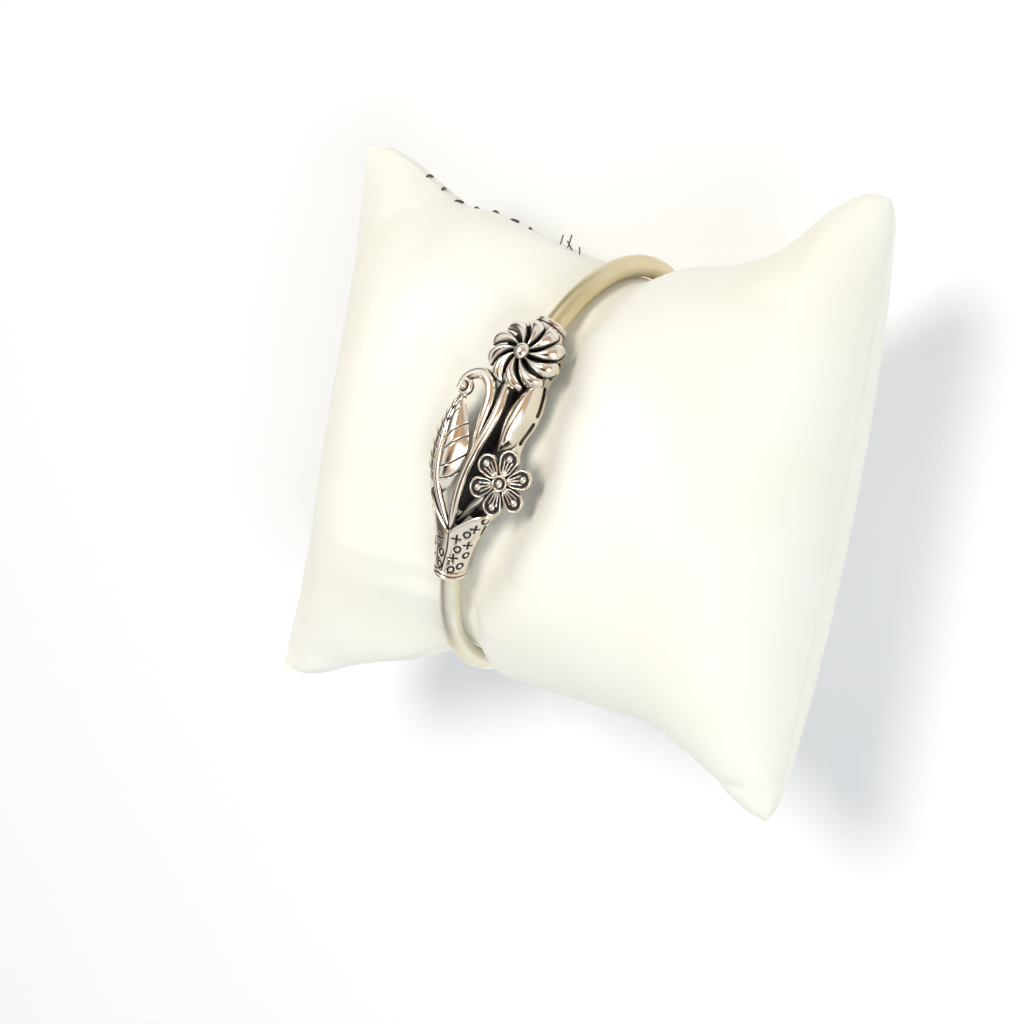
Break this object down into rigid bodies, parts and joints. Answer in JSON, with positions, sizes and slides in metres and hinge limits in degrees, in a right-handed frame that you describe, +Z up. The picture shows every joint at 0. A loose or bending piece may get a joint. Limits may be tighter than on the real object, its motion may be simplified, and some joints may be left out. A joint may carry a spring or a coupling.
{
  "type": "bangle on a display pillow",
  "caption": "Silver tube bangle with a cast openwork flower-and-leaf top and collared sockets, worn round a stuffed leather display pillow with drawn-out corners.",
  "frame": {"origin": "centre of the pillow's outline, on the surface that it lies on", "axes": "+Z up out of the pillow's front and the bangle's ornament, +Y towards the pillow's top edge, +X to the right as seen from the front"},
  "size_m": [0.0908, 0.0908, 0.0582],
  "materials": {
    "pillow_leather": "soft warm-white grained leather",
    "satin_silver": "satin silver",
    "polished_silver": "polished silver with blackened recesses"
  },
  "bodies": {
    "root": {"display_pillow": "pillow_leather", "bangle_tube": "satin_silver", "upper_collar": "polished_silver", "lower_collar": "polished_silver", "ornament_casting": "polished_silver"}
  },
  "joints": []
}
